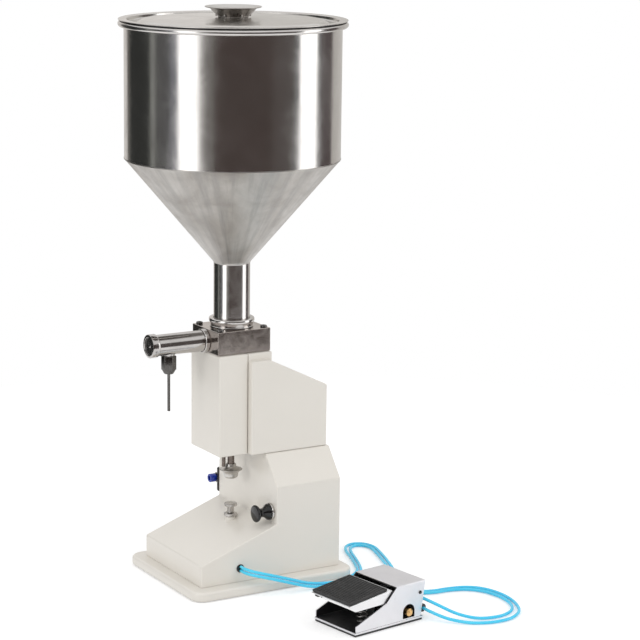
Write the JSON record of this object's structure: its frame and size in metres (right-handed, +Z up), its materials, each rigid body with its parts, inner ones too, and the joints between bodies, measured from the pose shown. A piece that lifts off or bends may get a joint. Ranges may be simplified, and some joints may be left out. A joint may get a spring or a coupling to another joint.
{
  "type": "piston filling machine",
  "caption": "Benchtop piston filler: a conical hopper with a loose lid feeds a valve block and nozzle; a hidden metering piston is driven by air through hoses from a foot pedal.",
  "frame": {"origin": "on the underside of the base plate, straight below the hopper's axis", "axes": "+Z up along the hopper's axis, -Y to the front where the nozzle is, +X to the side of the foot pedal"},
  "size_m": [0.4727, 0.3985, 0.728],
  "materials": {
    "paint": "warm off-white powder coat, satin",
    "polished_steel": "polished stainless steel",
    "satin_steel": "turned stainless steel, satin",
    "dark_steel": "machined steel, dark",
    "spring_steel": "spring wire",
    "aluminium": "satin anodised",
    "black_rubber": "matt",
    "black_plastic": "satin, knurled edge",
    "brass": "sintered",
    "blue_plastic": "deep blue",
    "hose_plastic": "light blue, slightly translucent"
  },
  "bodies": {
    "machine": {"base_plate": "paint", "lower_housing": "paint", "upper_housing": "paint", "front_cover": "paint", "hopper": "polished_steel", "neck_tube": "polished_steel", "valve_block": "polished_steel", "outlet_tube": "polished_steel", "outlet_collar": "polished_steel", "metering_cylinder": "satin_steel", "stop_pin": "satin_steel", "throttle_ring": "satin_steel", "nozzle_needle": "satin_steel", "pedal_hinge_pin": "satin_steel", "block_screw_1": "dark_steel", "block_screw_2": "dark_steel", "block_screw_3": "dark_steel", "block_screw_4": "dark_steel", "throttle_body": "dark_steel", "inlet_plate": "dark_steel", "inlet_elbow": "dark_steel", "outlet_spring": "spring_steel", "inlet_spring": "spring_steel", "pedal_return_spring": "spring_steel", "air_cylinder_bottom_cap": "aluminium", "air_cylinder_tube": "aluminium", "air_cylinder_top_cap": "aluminium", "pedal_base": "aluminium", "pedal_cover": "aluminium", "pedal_valve_body": "aluminium", "neck_gasket": "black_rubber", "pedal_mat": "black_rubber", "hose_bulkhead": "black_plastic", "pedal_side_screw_1": "black_plastic", "pedal_side_screw_2": "black_plastic", "pedal_elbow_low": "black_plastic", "pedal_elbow_high": "black_plastic", "pedal_silencer": "brass", "hose_outer": "hose_plastic", "hose_inner": "hose_plastic"},
    "piston": {"piston_rod": "satin_steel", "metering_piston": "satin_steel", "metering_piston_seal": "black_rubber", "air_piston": "satin_steel", "air_piston_seal": "black_rubber"},
    "adjusting_nut": {"adjusting_nut": "satin_steel"},
    "stop_screw": {"stop_screw": "satin_steel"},
    "stop_lock_ring": {"stop_lock_ring": "satin_steel"},
    "throttle_knob": {"throttle_knob": "black_plastic"},
    "release_ring": {"inlet_release_ring": "blue_plastic"},
    "inlet_valve": {"inlet_poppet": "satin_steel"},
    "outlet_valve": {"outlet_poppet": "satin_steel"},
    "nozzle_nut": {"nozzle_nut": "dark_steel"},
    "end_cap": {"outlet_end_cap": "polished_steel"},
    "neck_union": {"neck_union": "polished_steel"},
    "lid": {"hopper_lid": "polished_steel", "lid_knob": "polished_steel"},
    "pedal_lever": {"pedal_lever": "aluminium", "pedal_pad": "black_rubber"},
    "pedal_plunger": {"pedal_plunger": "satin_steel"}
  },
  "joints": [
    {"name": "piston_slide", "type": "slide", "parent": "machine", "child": "piston", "axis": [0, 0, 1], "range_m": [-0.0335, 0]},
    {"name": "adjusting_nut_turn", "type": "hinge", "parent": "piston", "child": "adjusting_nut", "pos_m": [0, 0, 0.136], "axis": [0, 0, 1], "range_deg": [0, 1620]},
    {"name": "stop_screw_turn", "type": "hinge", "parent": "machine", "child": "stop_screw", "pos_m": [0, 0, 0.085], "axis": [0, 0, 1], "range_deg": [0, 1800]},
    {"name": "stop_lock_ring_turn", "type": "hinge", "parent": "machine", "child": "stop_lock_ring", "pos_m": [0, 0, 0.0775], "axis": [0, 0, 1], "range_deg": [0, 720]},
    {"name": "throttle_turn", "type": "hinge", "parent": "machine", "child": "throttle_knob", "pos_m": [0.062, 0.01, 0.094], "axis": [0, -1, 0], "range_deg": [0, 1620]},
    {"name": "release_ring_press", "type": "slide", "parent": "machine", "child": "release_ring", "axis": [0, 1, 0], "range_m": [0, 0.0012], "stiffness_N_per_m": 2000, "springref_m": -0.0005},
    {"name": "inlet_valve_open", "type": "slide", "parent": "machine", "child": "inlet_valve", "axis": [0, 0, -1], "range_m": [0, 0.004], "stiffness_N_per_m": 300, "springref_m": -0.004, "deforming": ["inlet_spring"]},
    {"name": "outlet_valve_open", "type": "slide", "parent": "machine", "child": "outlet_valve", "axis": [0, -1, 0], "range_m": [0, 0.004], "stiffness_N_per_m": 100, "springref_m": -0.01, "deforming": ["outlet_spring"]},
    {"name": "nozzle_nut_turn", "type": "hinge", "parent": "machine", "child": "nozzle_nut", "pos_m": [0, -0.0895, 0.287], "axis": [0, 0, 1], "range_deg": [0, 1440]},
    {"name": "end_cap_turn", "type": "hinge", "parent": "machine", "child": "end_cap", "pos_m": [0, -0.113, 0.311], "axis": [0, -1, 0], "range_deg": [0, 1080]},
    {"name": "neck_union_turn", "type": "hinge", "parent": "machine", "child": "neck_union", "pos_m": [0, 0, 0.333], "axis": [0, 0, 1], "range_deg": [0, 900]},
    {"name": "lid_lift", "type": "slide", "parent": "machine", "child": "lid", "axis": [0, 0, 1], "range_m": [0, 0.06]},
    {"name": "pedal_press", "type": "hinge", "parent": "machine", "child": "pedal_lever", "pos_m": [0.24374, 0.06397, 0.038], "axis": [0.988, 0.1547, 0], "range_deg": [0, 12], "stiffness_Nm_per_rad": 2, "springref_deg": -17.19, "deforming": ["pedal_return_spring"]},
    {"name": "pedal_plunger_press", "type": "slide", "parent": "machine", "child": "pedal_plunger", "axis": [0, 0, -1], "range_m": [0, 0.0031]}
  ],
  "couplings": [
    {"joint": "pedal_plunger_press", "follows": "pedal_press", "m_per_rad": 0.0143}
  ]
}
